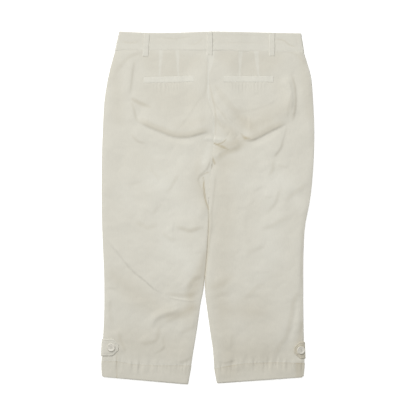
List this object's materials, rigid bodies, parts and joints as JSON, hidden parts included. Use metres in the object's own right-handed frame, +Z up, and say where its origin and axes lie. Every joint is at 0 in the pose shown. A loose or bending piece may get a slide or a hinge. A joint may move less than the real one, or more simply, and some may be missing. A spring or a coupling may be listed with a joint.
{
  "type": "capri pants",
  "caption": "Women's cotton capri pants lying flat, back side up: belt-looped waistband, welt back pockets, cropped legs with a buttoned tab over a slit at each hem.",
  "frame": {"origin": "centre of the garment's footprint, on the surface that it lies on", "axes": "+Y from the hems to the waist, +X to the wearer's right, +Z up from the surface, through the fronts to the backs"},
  "size_m": [0.4648, 0.7681, 0.01],
  "materials": {
    "cotton_twill": "off-white cotton twill, matt",
    "pocketing": "plain-woven cotton pocketing",
    "button_resin": "pale resin, satin gloss",
    "zip_tape": "woven polyester tape",
    "zip_metal": "cast zinc, satin",
    "hook_steel": "nickel-plated steel"
  },
  "bodies": {
    "root": {"front_left": "cotton_twill", "front_right": "cotton_twill", "back_left": "cotton_twill", "back_right": "cotton_twill", "waistband_back": "cotton_twill", "waistband_front_left": "cotton_twill", "waistband_front_right": "cotton_twill", "belt_loop_back_left": "cotton_twill", "belt_loop_back_centre": "cotton_twill", "belt_loop_back_right": "cotton_twill", "belt_loop_front_left": "cotton_twill", "belt_loop_front_right": "cotton_twill", "welt_left": "cotton_twill", "welt_right": "cotton_twill", "pocket_bag_left": "pocketing", "pocket_bag_right": "pocketing", "hem_tab_left": "cotton_twill", "hem_tab_right": "cotton_twill", "hem_button_left": "button_resin", "hem_button_right": "button_resin", "fly_shield": "cotton_twill", "zip_tape": "zip_tape", "zip_slider": "zip_metal", "zip_pull": "zip_metal", "waist_hook": "hook_steel", "waist_bar": "hook_steel"}
  },
  "joints": []
}
